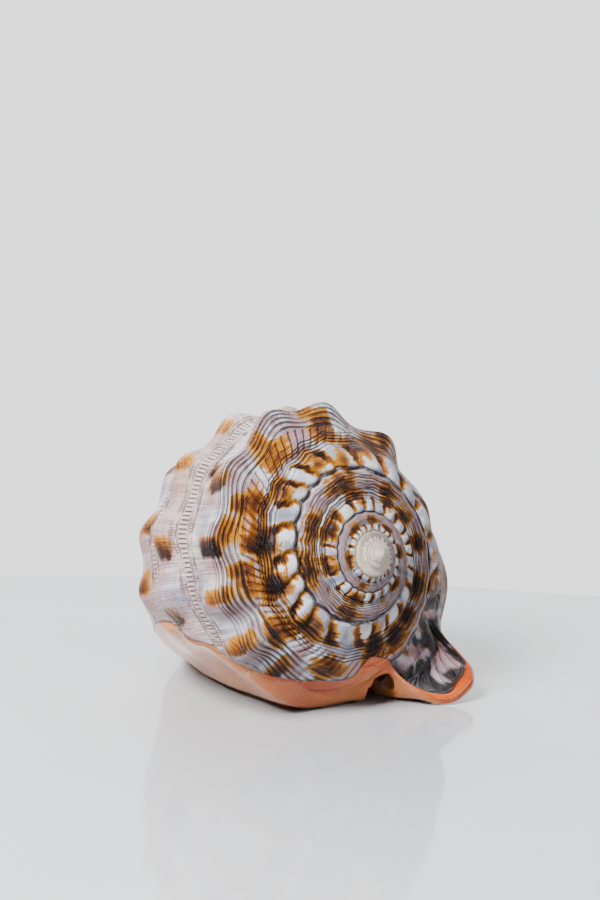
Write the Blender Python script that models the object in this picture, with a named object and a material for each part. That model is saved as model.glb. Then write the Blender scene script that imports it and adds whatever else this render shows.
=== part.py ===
# Bullmouth helmet shell, one grown piece, lying on its mouth with the spire facing -Y.
# Metres in Blender, millimetres in the shape's own values. +Z is up, the floor is at Z = 0.
import math

import bmesh
import bpy
import numpy as np

# Driving dimensions, in millimetres and degrees
APEX_HEIGHT = 53.0
COIL_TILT = 11.0
COIL_LENGTH = 137.0
WHORL_GROWTH = 1.75
SPIRE_SLOPE = 0.44
TIP_RISE = 2.2
TIP_RADIUS = 4.0
SUTURE_STEP = 0.12
SHIELD_THICKNESS = 1.8
SHIELD_LIFT = 0.055
SHIELD_FLAT = 12.0
LIP_REACH = 11.5
LIP_BASE = 8.0
TROUGH_DEPTH = 5.0
TROUGH_BACK = 10.0
RIM_HEIGHT = 2.5
RIM_BACK = 3.2
WALL = 5.5
KNOB_HEIGHTS = (5.0, 6.0, 4.5, 2.5)
KNOB_ROWS_BACK = (0.0, 24.0, 43.0, 60.0)
KNOB_LEAN = 4.0
KNOB_ANGLES = (60.0, 80.5, 102.5, 128.0, 155.0, 181.0, 216.5, 250.0, 286.0)

# The mouth's two edges, as angles round the coil axis from straight down
COLUMELLA_EDGE = -9.0
LIP_EDGE = -20.5
CHAMBER_END = -205.0
MOUTH_WIDENING = 9.0

# Mesh counts
RINGS = 60
LOOP = 78
SPIRE_RINGS = 24
FIRST_WHORL = -4
OUTER_POINTS = 57
ROUND_RINGS = 44.0
METRES = 0.001

# The edge line: the shoulder round the back, the free rim along the floor.
# Angle round the axis (0 down, 90 left, 180 up, -90 right), radius, distance behind the apex.
EDGE_LINE = (
    (-100, 41.5, 27.0), (-80, 46.5, 27.5), (-66, 48.5, 27.0), (-58, 49.5, 26.5),
    (-54, 50.5, 25.5), (-51, 53.5, 23.0), (-48, 58.5, 18.5), (-45, 60.8, 14.0), (-39, 61.3, 10.6),
    (-33, 60.5, 11.0), (-27, 57.5, 13.0), (-22.5, 51.0, 17.0), (-17, 41.5, 21.0),
    (-11, 42.0, 24.0), (-5, 44.5, 27.5), (3, 44.8, 28.5), (14, 44.0, 29.0),
    (28, 42.5, 27.0), (45, 42.0, 23.5), (62, 42.5, 22.0), (90, 45.5, 22.0),
    (130, 48.0, 23.0), (156, 49.0, 24.0), (182, 45.6, 25.0), (214, 41.6, 26.0), (240, 38.3, 26.5),
)
# The suture's spiral: angle wound from the start of its last turn, radius
SUTURE = ((-1440, 2.3), (-1080, 4.0), (-900, 4.8), (-720, 6.7), (-540, 8.0), (-450, 8.8),
          (-360, 11.3), (-270, 12.4), (-180, 14.0), (-100, 15.0), (-50, 18.0), (0, 20.4), (60, 22.8),
          (101, 24.6), (140, 27.0), (171, 28.2), (235, 28.2), (265, 29.4), (294, 31.8), (320, 35.0),
          (345, 38.5), (360, 39.5))
# Where the whorl's top leaves the plain cone of the spire: angle, radius
CONE_END = ((0, 39.5), (40, 33.0), (80, 29.0), (120, 29.0), (180, 31.0), (240, 31.5),
            (300, 36.0), (340, 37.5), (360, 39.5))

# Body whorl behind the shoulder: distance behind the apex, radius about the section's middle
BODY_TAPER = ((20, 46.0), (32, 48.5), (46, 50.8), (56, 50.2), (66, 48.0), (76, 44.0), (86, 38.8),
              (96, 33.5), (106, 28.0), (116, 22.5), (125, 17.5), (131, 14.0), (134.5, 10.5), (137, 4.0))
MIDDLE_SIDE = ((50, 0.0), (80, 2.0), (106, 8.0), (137, 12.0))
MIDDLE_DROP = ((45, 0.0), (70, -4.0), (90, -11.0), (108, -17.0), (122, -15.0), (137, -7.0))
SHIELD_MARGIN = ((24, 8.0), (28, 26.0), (31, 46.0), (38, 60.0), (50, 70.0), (66, 76.0),
                 (90, 74.0), (115, 60.0), (137, 40.0))


def ease(low, high, value):
    """Smooth step from 0 at low to 1 at high."""
    part = np.clip((value - low) / (high - low), 0.0, 1.0)
    return part * part * (3.0 - 2.0 * part)


def through(points, value):
    """Smooth curve, without overshoot, through hand-chosen points."""
    knots = np.array([point[0] for point in points], float)
    heights = np.array([point[1] for point in points], float)
    value = np.clip(value, knots[0], knots[-1])
    index = np.clip(np.searchsorted(knots, value, side="right") - 1, 0, len(knots) - 2)
    widths = np.diff(knots)
    slopes = np.diff(heights) / widths
    before, after = slopes[:-1], slopes[1:]
    same_way = before * after > 0
    middle = np.where(same_way, 2 * before * after / np.where(same_way, before + after, 1.0), 0.0)
    tangents = np.concatenate([[slopes[0]], middle, [slopes[-1]]])
    width = widths[index]
    part = (value - knots[index]) / width
    square, cube = part ** 2, part ** 3
    return (heights[index] * (2 * cube - 3 * square + 1)
            + heights[index + 1] * (3 * square - 2 * cube)
            + width * tangents[index] * (cube - 2 * square + part)
            + width * tangents[index + 1] * (cube - square))


def softer_least(first, second, blend):
    """The lesser of two values, rounded where they cross."""
    share = np.clip(0.5 + 0.5 * (second - first) / blend, 0.0, 1.0)
    return second + (first - second) * share - blend * share * (1.0 - share)


def edge_line(angle):
    """Radius and depth of the shoulder and rim at each angle."""
    points = [(a, r, h) for a, r, h in EDGE_LINE]
    points = [(a - 360, r, h) for a, r, h in points[-3:]] + points
    points = points + [(a + 360, r, h) for a, r, h in points[3:7]]
    wrapped = (angle + 110.0) % 360.0 - 110.0
    radius = through([(a, r) for a, r, h in points], wrapped)
    depth = through([(a, h) for a, r, h in points], wrapped)
    return radius, depth


def knob_relief(angle, back):
    """Height of the knob rows; back is the distance behind the shoulder line."""
    height = np.zeros_like(back)
    wrapped = angle % 360.0
    for row, (tall, row_back) in enumerate(zip(KNOB_HEIGHTS, KNOB_ROWS_BACK)):
        long_side = 9.0 if row == 0 else 6.5
        for index, centre in enumerate(KNOB_ANGLES):
            wide = 7.0 + 0.7 * index
            across = (wrapped - centre - KNOB_LEAN * row) / wide
            along = (back - row_back) / long_side
            late = 1.0 - 0.6 * float(ease(6.0, 8.0, index))
            height += late * tall * np.exp(-(across ** 2) - along ** 2)
    return height


def shoulder_knobs(angle):
    """How far the shoulder's own knobs push the edge line outwards."""
    return knob_relief(angle, np.zeros_like(angle))


def suture_radius(wound):
    """Radius of the suture's spiral, carried on past both ends at a steady growth."""
    beyond = np.maximum(wound - SUTURE[-1][0], 0.0) + np.minimum(wound - SUTURE[0][0], 0.0)
    return through(SUTURE, wound) * WHORL_GROWTH ** (beyond / 360.0)


def whorl_place(angle, radius):
    """Whorl coordinate, whole on the suture and 0 on its last turn, and that whorl's width."""
    turned = angle % 360.0
    radius = np.maximum(radius, 0.02)
    place = np.log(radius / suture_radius(turned + 360.0 * FIRST_WHORL)) / math.log(WHORL_GROWTH)
    place = place + FIRST_WHORL
    width = radius * (WHORL_GROWTH - 1.0)
    for whorl in range(FIRST_WHORL, 2):
        inner = suture_radius(turned + 360.0 * whorl)
        outer = suture_radius(turned + 360.0 * (whorl + 1))
        share = np.log(np.maximum(radius, inner) / inner) / np.log(outer / inner)
        place = np.where(radius >= inner, whorl + share, place)
        width = np.where(radius >= inner, outer - inner, width)
    return place, width


def spire_depth(radius):
    """Depth of the plain spire cone with its rounded tip."""
    return SPIRE_SLOPE * radius + TIP_RISE * (1.0 - np.exp(-(radius / TIP_RADIUS) ** 1.4))


def top_depth(angle, radius):
    """Depth of the spire, the whorl top and the flared back of the rim."""
    edge_radius, edge_depth = edge_line(angle)
    start = np.minimum(through(CONE_END, angle % 360.0), edge_radius - 4.0)
    start_depth = spire_depth(start)
    flare = ease(-60.0, -40.0, signed(angle)) * (1.0 - ease(-24.0, -12.0, signed(angle)))
    rim = ease(-24.0, -8.0, signed(angle)) * (1.0 - ease(20.0, 45.0, signed(angle)))
    end_slope = 0.75 - 0.75 * flare - 0.9 * rim
    width = edge_radius - start
    part = np.clip((radius - start) / width, 0.0, 1.0)
    square, cube = part ** 2, part ** 3
    outer = (start_depth * (2 * cube - 3 * square + 1) + edge_depth * (3 * square - 2 * cube)
             + width * SPIRE_SLOPE * (cube - 2 * square + part)
             + width * end_slope * (cube - square))
    trough = np.exp(-((radius - edge_radius + TROUGH_BACK) / 4.5) ** 2)
    outer = outer + TROUGH_DEPTH * trough * flare * ease(0.0, 0.3, part)
    bead = np.exp(-((radius - edge_radius + RIM_BACK) / 2.6) ** 2)
    outer = outer - RIM_HEIGHT * bead * flare
    plain = np.where(radius < start, spire_depth(radius), outer)
    place, whorl_width = whorl_place(angle, radius)
    fraction = place - np.floor(place)
    last_end = ease(335.0, 356.0, angle % 360.0) * np.where(place > -1.0, 1.0, 0.0)
    rise = ease(0.35, 0.80, fraction) * (1.0 - ease(0.82, 1.0, fraction))
    rise = rise * np.where(place < 0.0, 1.0, 0.0) * (1.0 - last_end)
    step = SUTURE_STEP * np.minimum(whorl_width, 14.0) * rise
    back = np.minimum(radius - edge_radius, 0.0)
    return plain - step - 0.5 * knob_relief(angle, back) * ease(-6.0, 8.0, radius - start)


def signed(angle):
    """Angle from -180 to 180."""
    return (angle + 180.0) % 360.0 - 180.0


def side_radius(angle, depth):
    """Outside radius of the body, the shield and the lip about the section's middle."""
    turn = signed(angle)
    edge_radius, edge_depth = edge_line(angle)
    body = through(BODY_TAPER, depth)
    lower_left = np.exp(-((turn - 44.0) / 27.0) ** 2) * ease(22.0, 55.0, depth)
    upper_right = np.exp(-((angle % 360.0 - 205.0) / 55.0) ** 2)
    crown = np.exp(-((angle % 360.0 - 180.0) / 55.0) ** 2) * np.exp(-((depth - 98.0) / 18.0) ** 2)
    body = body * (1.0 - 0.18 * lower_left - 0.10 * upper_right + 0.16 * crown)
    scale = np.clip(body / 48.0, 0.25, 1.0)
    lip = ease(-56.5, -49.5, turn) * (1.0 - ease(-30.0, -14.0, turn))
    body = body + LIP_REACH * lip * ease(0.1, 0.7, scale)
    margin = through(SHIELD_MARGIN, depth)
    inside = 1.0 - ease(-1.5, 1.5, turn - margin)
    on_shield = inside * ease(-14.0, -6.0, turn)
    body = body + SHIELD_THICKNESS * on_shield * scale
    sculptured = 1.0 - inside * ease(-90.0, -70.0, turn)
    back = np.maximum(depth - edge_depth, 0.0)
    body = body + knob_relief(angle, back) * sculptured * scale
    middle_height = (APEX_HEIGHT - depth * math.sin(math.radians(COIL_TILT))
                     + through(MIDDLE_DROP, depth) * math.cos(math.radians(COIL_TILT)))
    cosine = np.maximum(np.cos(np.radians(turn)), 0.05)
    floor = middle_height / (cosine * math.cos(math.radians(COIL_TILT)))
    floor = floor * (1.0 - SHIELD_LIFT * ease(SHIELD_FLAT, 34.0, turn))
    floor = np.where(np.abs(turn) < 80.0, floor, 400.0)
    body = softer_least(body, floor, 3.0)
    behind = np.maximum(depth - edge_depth, 0.0)
    floorward = ease(-56.0, -46.0, turn) * (1.0 - ease(25.0, 50.0, turn))
    reach = 4.0 - 1.9 * floorward
    edge = edge_radius + shoulder_knobs(angle)
    return body + (edge - body) * np.exp(-(behind / reach) ** 1.5)


def to_world(across, up, depth):
    """From the coil's own axes to the floor's."""
    tilt = math.radians(COIL_TILT)
    return np.stack([across,
                     depth * math.cos(tilt) + up * math.sin(tilt),
                     APEX_HEIGHT - depth * math.sin(tilt) + up * math.cos(tilt)], axis=-1)


def mouth_edges(way):
    """Angles of the columella's and the lip's edges, which part towards the narrow end."""
    widening = MOUTH_WIDENING * float(ease(0.10, 0.75, way))
    return COLUMELLA_EDGE + 0.4 * widening, LIP_EDGE - 0.6 * widening


def loop_angles(columella_edge, lip_edge, spread):
    """Angles of a whole loop, from even on the spire to close at the lip and the mouth."""
    share = np.linspace(0.0, 1.0, OUTER_POINTS)
    close = np.interp(share, (0.0, 0.16, 0.74, 1.0), (columella_edge, 48.0, 288.0, 360.0 + lip_edge))
    whole = columella_edge + 360.0 * np.arange(OUTER_POINTS) / LOOP
    outer = whole + (close - whole) * spread
    inner = outer[-1] + (columella_edge + 360.0 - outer[-1]) * mouth_share()
    return np.concatenate([outer, inner])


def mouth_share():
    """Shares of the way across the mouth for the points inside it."""
    count = LOOP - OUTER_POINTS
    return (np.arange(count) + 1.0) / (count + 1.0)


def chamber_path(depth_row, share, columella_edge, lip_edge):
    """Angle and radius of a walk round the chamber's wall, from lip to columella."""
    angle = np.interp(share, (0.0, 0.14, 0.56, 0.64, 0.86, 1.0),
                      (lip_edge, lip_edge - 4.0, CHAMBER_END + 8.0, CHAMBER_END + 4.0,
                       columella_edge - 5.0, columella_edge))
    body = through(BODY_TAPER, depth_row)
    wall = np.minimum(WALL, 0.28 * body)
    outer = body - wall - 3.5 * np.exp(-((angle + 135.0) / 50.0) ** 2)
    middle_height = (APEX_HEIGHT - depth_row * math.sin(math.radians(COIL_TILT))
                     + through(MIDDLE_DROP, depth_row) * math.cos(math.radians(COIL_TILT)))
    floor = middle_height / np.maximum(np.cos(np.radians(angle)), 0.05)
    outer = np.minimum(outer, floor - np.minimum(LIP_BASE, 0.35 * floor))
    inner = np.minimum(0.42 * body, 0.42 * floor)
    lip = softer_least(side_radius(angle, depth_row), floor, 1.0)
    on_lip = 1.0 - ease(0.0, 0.14, share)
    on_outer = ease(0.0, 0.14, share) * (1.0 - ease(0.56, 0.64, share))
    on_inner = ease(0.56, 0.64, share) * (1.0 - ease(0.86, 1.0, share))
    on_columella = ease(0.86, 1.0, share)
    radius = lip * (on_lip + on_columella) + outer * on_outer + inner * on_inner
    return angle, radius


def mouth_opening(depth, behind):
    """How far the mouth is open into the chamber, along the shell."""
    opening = ease(-2.0, 26.0, behind)
    closing = 1.0 - 0.90 * ease(96.0, 122.0, depth)
    return np.minimum(opening, closing) * (1.0 - ease(132.0, 137.0, depth))


def spire_ring(part):
    """One ring of the spire and the whorl's top, round near the apex, edge-shaped outside."""
    angle = loop_angles(COLUMELLA_EDGE, LIP_EDGE, float(ease(0.15, 0.60, part)))
    edge_radius, edge_depth = edge_line(angle)
    shape = float(ease(0.60, 1.0, part))
    radius = part * (ROUND_RINGS + (edge_radius - ROUND_RINGS) * shape)
    radius = radius + shoulder_knobs(angle) * float(ease(0.80, 1.0, part))
    sine, cosine = np.sin(np.radians(angle)), np.cos(np.radians(angle))
    return to_world(-radius * sine, -radius * cosine, top_depth(angle, radius))


def body_ring(part):
    """One ring of the body behind the shoulder, with its way in at the mouth."""
    way = 1.35 * part ** 1.5 - 0.35 * part ** 3.5
    columella_edge, lip_edge = mouth_edges(way)
    angle = loop_angles(columella_edge, lip_edge, 1.0)
    edge_radius, _ = edge_line(angle)
    start_depth = top_depth(angle, edge_radius + shoulder_knobs(angle))
    depth = start_depth + (COIL_LENGTH - start_depth) * way
    across, up = place(angle, side_radius(angle, depth), depth)
    inside = slice(OUTER_POINTS, LOOP)
    inner_depth = depth[inside]
    path = chamber_path(inner_depth, mouth_share(), columella_edge, lip_edge)
    in_across, in_up = place(*path, inner_depth)
    opening = mouth_opening(inner_depth, inner_depth - start_depth[inside])
    across[inside] += (in_across - across[inside]) * opening
    up[inside] += (in_up - up[inside]) * opening
    return to_world(across, up, depth)


def ring_points(ring):
    """World positions of one ring, in millimetres, counted from the apex."""
    if ring <= SPIRE_RINGS:
        return spire_ring(ring / SPIRE_RINGS)
    return body_ring((ring - SPIRE_RINGS) / (RINGS - SPIRE_RINGS))


def place(angle, radius, depth):
    """Across and up from the coil axis, for a section with a moved middle."""
    across = through(MIDDLE_SIDE, depth) - radius * np.sin(np.radians(angle))
    up = through(MIDDLE_DROP, depth) - radius * np.cos(np.radians(angle))
    return across, up


def grown_mesh(name):
    """A sphere's rings and loops moved onto the shell's form."""
    form = bmesh.new()
    bmesh.ops.create_uvsphere(form, u_segments=LOOP, v_segments=RINGS, radius=1.0)
    rings = np.array([ring_points(ring) for ring in range(RINGS + 1)])
    for pole in (0, RINGS):
        rings[pole] = rings[pole].mean(axis=0)
    low, high = rings.min(axis=(0, 1)), rings.max(axis=(0, 1))
    rings = rings - np.array([(low[0] + high[0]) / 2.0, (low[1] + high[1]) / 2.0, low[2]])
    for corner in form.verts:
        ring = round(math.acos(max(-1.0, min(1.0, corner.co.z))) / math.pi * RINGS)
        step = round(math.atan2(corner.co.y, corner.co.x) / (2.0 * math.pi) * LOOP) % LOOP
        corner.co = rings[ring][step] * METRES
    if form.calc_volume(signed=True) < 0.0:
        bmesh.ops.reverse_faces(form, faces=form.faces)
    mesh = bpy.data.meshes.new(name)
    form.to_mesh(mesh)
    form.free()
    mesh.shade_smooth()
    return mesh


def shell_material():
    """Glazed lime shell, orange to grey-white."""
    material = bpy.data.materials.new("glazed_shell")
    material.use_nodes = True
    shader = material.node_tree.nodes["Principled BSDF"]
    shader.inputs["Base Color"].default_value = (0.62, 0.42, 0.30, 1.0)
    shader.inputs["Roughness"].default_value = 0.35
    shader.inputs["Metallic"].default_value = 0.0
    return material


# Build the mesh
for leftover in list(bpy.data.objects):
    bpy.data.objects.remove(leftover, do_unlink=True)

collection = bpy.data.collections.new("bullmouth_helmet_shell")
bpy.context.scene.collection.children.link(collection)
shell = bpy.data.objects.new("shell", grown_mesh("shell"))
shell.data.materials.append(shell_material())
collection.objects.link(shell)
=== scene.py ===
import math

import bmesh
import bpy
import numpy as np
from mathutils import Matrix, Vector


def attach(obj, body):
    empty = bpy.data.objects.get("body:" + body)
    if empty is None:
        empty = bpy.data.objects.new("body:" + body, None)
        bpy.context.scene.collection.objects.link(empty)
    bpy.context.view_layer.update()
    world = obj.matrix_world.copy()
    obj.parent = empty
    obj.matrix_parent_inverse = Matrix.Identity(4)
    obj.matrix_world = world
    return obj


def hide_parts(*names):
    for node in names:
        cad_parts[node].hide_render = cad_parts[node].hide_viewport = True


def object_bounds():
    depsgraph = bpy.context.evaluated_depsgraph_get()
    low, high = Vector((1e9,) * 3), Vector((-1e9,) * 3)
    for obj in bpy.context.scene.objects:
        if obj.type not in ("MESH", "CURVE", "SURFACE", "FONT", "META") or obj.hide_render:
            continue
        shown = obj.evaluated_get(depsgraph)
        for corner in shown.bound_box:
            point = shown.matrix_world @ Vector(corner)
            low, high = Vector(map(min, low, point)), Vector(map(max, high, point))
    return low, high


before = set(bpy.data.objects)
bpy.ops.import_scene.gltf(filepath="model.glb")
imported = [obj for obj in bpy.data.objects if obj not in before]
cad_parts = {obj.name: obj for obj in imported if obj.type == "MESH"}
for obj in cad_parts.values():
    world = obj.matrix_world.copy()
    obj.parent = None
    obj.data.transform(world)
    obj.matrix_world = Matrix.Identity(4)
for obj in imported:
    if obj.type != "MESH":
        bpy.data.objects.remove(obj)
cad_low, cad_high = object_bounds()

# Camera
# A long lens a little above the table looks at the spire from its left front.
# Its place is measured from the apex, which the picture shows left of the shell's right edge.
APEX = Vector((0.00238, -0.06637, 0.053))
CAMERA_FROM_APEX = Vector((-0.34749, -0.42911, 0.10733))
CAMERA_YAW = math.radians(36.273)
CAMERA_PITCH = math.radians(7.658)
LENS = 72.0

camera_data = bpy.data.cameras.new("camera")
camera_data.lens = LENS
camera_data.sensor_width = 36.0
camera_data.clip_start = 0.01
camera = bpy.data.objects.new("camera", camera_data)
camera.location = APEX + CAMERA_FROM_APEX
camera.rotation_euler = (math.radians(90.0) - CAMERA_PITCH, 0.0, -CAMERA_YAW)
bpy.context.scene.collection.objects.link(camera)
bpy.context.scene.camera = camera

# Growth of the shell
# One solid of lime that the snail lays down at the lip as it turns: a low spire of five whorls,
# then one large whorl. Its form is worked out from the coil, in millimetres and degrees.
# Angles turn clockwise seen from the apex: 0 is down, 90 left, 180 up.
APEX_HEIGHT = 53.0
COIL_TILT = math.radians(11.0)
COIL_LENGTH = 137.0
WHORL_GROWTH = 1.75
SPIRE_SLOPE = 0.44
TIP_RISE = 2.2
TIP_RADIUS = 4.0
RIDGE_RISE = 0.12
# The suture: an angle wound and its radius
SUTURE = ((-1440, 2.3), (-1080, 4.0), (-900, 4.8), (-720, 6.7), (-540, 8.0), (-450, 8.8),
          (-360, 11.3), (-270, 12.4), (-180, 14.0), (-100, 15.0), (-50, 18.0), (0, 20.4), (60, 22.8),
          (101, 24.6), (140, 27.0), (171, 28.2), (235, 28.2), (265, 29.4), (294, 31.8), (320, 35.0),
          (345, 38.5), (360, 39.5))
FIRST_WHORL = -6
# Shoulder and rim: an angle, a radius and a depth behind the apex
EDGE_LINE = (
    (-100, 41.5, 27.0), (-80, 46.5, 27.5), (-66, 48.5, 27.0), (-58, 49.5, 26.5),
    (-54, 50.5, 25.5), (-51, 53.5, 23.0), (-48, 58.5, 18.5), (-45, 60.8, 14.0), (-39, 61.3, 10.6),
    (-33, 60.5, 11.0), (-27, 57.5, 13.0), (-22.5, 51.0, 17.0), (-17, 41.5, 21.0),
    (-11, 42.0, 24.0), (-5, 44.5, 27.5), (3, 44.8, 28.5), (14, 44.0, 29.0),
    (28, 42.5, 27.0), (45, 42.0, 23.5), (62, 42.5, 22.0), (90, 45.5, 22.0),
    (130, 48.0, 23.0), (156, 49.0, 24.0), (182, 45.6, 25.0), (214, 41.6, 26.0), (240, 38.3, 26.5),
)
EDGE_LINE_START = -110.0
# Where the plain spire cone ends: an angle and a radius
CONE_END = ((0, 39.5), (40, 33.0), (80, 29.0), (120, 29.0), (180, 31.0), (240, 31.5),
            (300, 36.0), (340, 37.5), (360, 39.5))
# The body at each depth: its radius, then the shift of its middle to the side and upwards
BODY_TAPER = ((20, 46.0), (32, 48.5), (46, 50.8), (56, 50.2), (66, 48.0), (76, 44.0), (86, 38.8),
              (96, 33.5), (106, 28.0), (116, 22.5), (125, 17.5), (131, 14.0), (134.5, 10.5), (137, 4.0))
MIDDLE_SIDE = ((50, 0.0), (80, 2.0), (106, 8.0), (137, 12.0))
MIDDLE_DROP = ((45, 0.0), (70, -4.0), (90, -11.0), (108, -17.0), (122, -15.0), (137, -7.0))


def ease(low, high, value):
    """Smooth step from 0 at low to 1 at high; high may be the lesser of the two."""
    part = np.clip((value - low) / (high - low), 0.0, 1.0)
    return part * part * (3.0 - 2.0 * part)


def between(low, high, soft, value):
    """1 from low to high, fading over a soft width inside each end."""
    return ease(low, low + soft, value) * (1.0 - ease(high - soft, high, value))


def bump(middle, width, value):
    """A rounded hump of height 1."""
    return np.exp(-((value - middle) / width) ** 2)


def through(points, value):
    """Smooth curve, without overshoot, through listed points."""
    knots = np.array([point[0] for point in points], float)
    heights = np.array([point[1] for point in points], float)
    value = np.clip(value, knots[0], knots[-1])
    index = np.clip(np.searchsorted(knots, value, side="right") - 1, 0, len(knots) - 2)
    widths = np.diff(knots)
    slopes = np.diff(heights) / widths
    before, after = slopes[:-1], slopes[1:]
    same_way = before * after > 0
    middle = np.where(same_way, 2 * before * after / np.where(same_way, before + after, 1.0), 0.0)
    tangents = np.concatenate([[slopes[0]], middle, [slopes[-1]]])
    width = widths[index]
    part = (value - knots[index]) / width
    square, cube = part ** 2, part ** 3
    return (heights[index] * (2 * cube - 3 * square + 1)
            + heights[index + 1] * (3 * square - 2 * cube)
            + width * tangents[index] * (cube - 2 * square + part)
            + width * tangents[index + 1] * (cube - square))


def softer_least(first, second, blend):
    """The lesser of two values, rounded where they cross."""
    share = np.clip(0.5 + 0.5 * (second - first) / blend, 0.0, 1.0)
    return second + (first - second) * share - blend * share * (1.0 - share)


def signed(angle):
    """Angle from -180 to 180."""
    return (angle + 180.0) % 360.0 - 180.0


def edge_line(angle):
    """Radius and depth of the shoulder and rim at each angle."""
    points = [(a, r, h) for a, r, h in EDGE_LINE]
    points = [(a - 360, r, h) for a, r, h in points[-3:]] + points
    points = points + [(a + 360, r, h) for a, r, h in points[3:7]]
    wrapped = (angle - EDGE_LINE_START) % 360.0 + EDGE_LINE_START
    radius = through([(a, r) for a, r, h in points], wrapped)
    depth = through([(a, h) for a, r, h in points], wrapped)
    return radius, depth


# Nodules and sutures
# Each whorl starts at the suture with a row of rounded nodules, and the ridge of the whorl before
# hangs over it in scallops. The nodules are unevenly spaced, as the animal grew in spurts.
NODULE_SPACING = 16.52
NODULE_START = 1.98
SLOW_SPURT, SLOW_PERIOD, SLOW_START = 0.335, 230.0, 2.70
QUICK_SPURT, QUICK_PERIOD, QUICK_START = 0.179, 80.0, 0.766
NODULE_RISE = 0.09
LARGEST_WIDTH = 14.0
SCALLOP = 0.030
APEX_STEP = 1.2
SPIRE_THREAD_RISE = 0.018
SPIRE_THREAD_SPACING = 0.11


def nodule_count(wound):
    """How many nodules lie between the last turn's start and this angle; whole between two."""
    slow = SLOW_SPURT * np.sin(wound * 2.0 * math.pi / SLOW_PERIOD + SLOW_START)
    quick = QUICK_SPURT * np.sin(wound * 2.0 * math.pi / QUICK_PERIOD + QUICK_START)
    return NODULE_START + wound / NODULE_SPACING + slow + quick


def nodule_lobes(wound):
    """Rounded swellings: 1 in the middle of each nodule, 0 between two."""
    return np.abs(np.sin(math.pi * nodule_count(wound))) ** 0.7


def suture_radius(wound):
    """Radius of the scalloped suture, carried on past both ends at a steady growth."""
    beyond = np.maximum(wound - SUTURE[-1][0], 0.0) + np.minimum(wound - SUTURE[0][0], 0.0)
    plain = through(SUTURE, wound) * WHORL_GROWTH ** (beyond / 360.0)
    cusps = 1.0 - np.abs(np.sin(math.pi * nodule_count(wound)))
    return plain * (1.0 + SCALLOP * (cusps - 0.4) * ease(-850.0, -480.0, wound))


def whorl_place(angle, radius):
    """Whorl coordinate, whole on the suture and 0 on its last turn, and that whorl's width."""
    turned = angle % 360.0
    radius = np.maximum(radius, 0.02)
    place = np.log(radius / suture_radius(turned + 360.0 * FIRST_WHORL)) / math.log(WHORL_GROWTH)
    place = place + FIRST_WHORL
    width = radius * (WHORL_GROWTH - 1.0)
    for whorl in range(FIRST_WHORL, 2):
        inner = suture_radius(turned + 360.0 * whorl)
        outer = suture_radius(turned + 360.0 * (whorl + 1))
        share = np.log(np.maximum(radius, inner) / inner) / np.log(outer / inner)
        place = np.where(radius >= inner, whorl + share, place)
        width = np.where(radius >= inner, outer - inner, width)
    return place, width


def wound_angle(angle, place):
    """Angle wound along the spiral, 0 where the last suture's turn starts."""
    return (angle % 360.0) + 360.0 * np.minimum(np.floor(place), 0.0)


def spire_relief(place, width, wound):
    """Height of the spire's ridges and nodules over the plain cone."""
    across = place - np.floor(place)
    near_lip = ease(335.0, 356.0, wound + 360.0) * np.where(place > -1.0, 1.0, 0.0)
    size = np.minimum(width, LARGEST_WIDTH)
    ridge = RIDGE_RISE * size * ease(0.35, 0.80, across) * (1.0 - ease(0.93, 1.0, across))
    nodules = NODULE_RISE * size * nodule_lobes(wound) * between(0.0, 0.40, 0.09, across)
    nodules = nodules * ease(-950.0, -680.0, wound)
    threads = SPIRE_THREAD_RISE * size * np.cos(2.0 * math.pi * across / SPIRE_THREAD_SPACING)
    threads = threads * between(0.40, 0.98, 0.1, across)
    ridge = ridge * (1.0 + APEX_STEP * ease(-900.0, -1200.0, wound))
    return (ridge * (1.0 - near_lip) + nodules + threads) * np.where(place < 0.0, 1.0, 0.0)


# Knobs, ribs and beaded bands
# The big whorl carries four rows of blunt knobs with a beaded band behind each of the first
# three, axial ribs and fine spiral threads on its top, and low cords near the narrow end.
KNOB_HEIGHTS = (5.0, 6.0, 4.5, 2.5)
KNOB_ROWS_BACK = (0.0, 24.0, 43.0, 60.0)
KNOB_LENGTHS = (9.0, 6.5, 6.5, 6.5)
KNOB_WIDTH, KNOB_WIDENING = 7.0, 0.7
KNOB_LEAN = 4.0
LATE_KNOB_LOSS = 0.6
TOP_KNOB_SHARE = 0.5
KNOB_ANGLES = (60.0, 80.5, 102.5, 128.0, 155.0, 181.0, 216.5, 250.0, 286.0)
# A beaded band: its middle behind the shoulder, its half width and its strength
BEADED_BANDS = ((15.5, 3.0, 0.8), (33.5, 2.0, 0.5), (52.0, 2.0, 0.4))
BAND_BOW, BOW_START = 0.13, 105.0
CHANNEL_DEPTH, CHANNEL_OFFSET = 0.7, 1.4
BEAD_SPACING = 1.7
TOP_NODULE_HEIGHT, NODULE_LEAN = 1.9, 1.2
RIB_SPACING, RIB_HEIGHT, RIB_LEAN = 4.0, 0.8, 1.1
THREAD_SPACING, THREAD_HEIGHT = 1.3, 0.16
CORD_SPACING, CORD_HEIGHT = 3.4, 0.25


def knob_relief(angle, back):
    """Height of the knob rows; back is the distance behind the shoulder line."""
    height = np.zeros_like(back)
    wrapped = angle % 360.0
    for row, (tall, row_back, long) in enumerate(zip(KNOB_HEIGHTS, KNOB_ROWS_BACK, KNOB_LENGTHS)):
        for index, centre in enumerate(KNOB_ANGLES):
            wide = KNOB_WIDTH + KNOB_WIDENING * index
            across = (wrapped - centre - KNOB_LEAN * row) / wide
            along = (back - row_back) / long
            late = 1.0 - LATE_KNOB_LOSS * float(ease(6.0, 8.0, index))
            height += late * tall * np.exp(-(across ** 2) - along ** 2)
    return height


def shoulder_knobs(angle):
    """How far the shoulder's own knobs push the edge line outwards."""
    return knob_relief(angle, np.zeros_like(angle))


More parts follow.
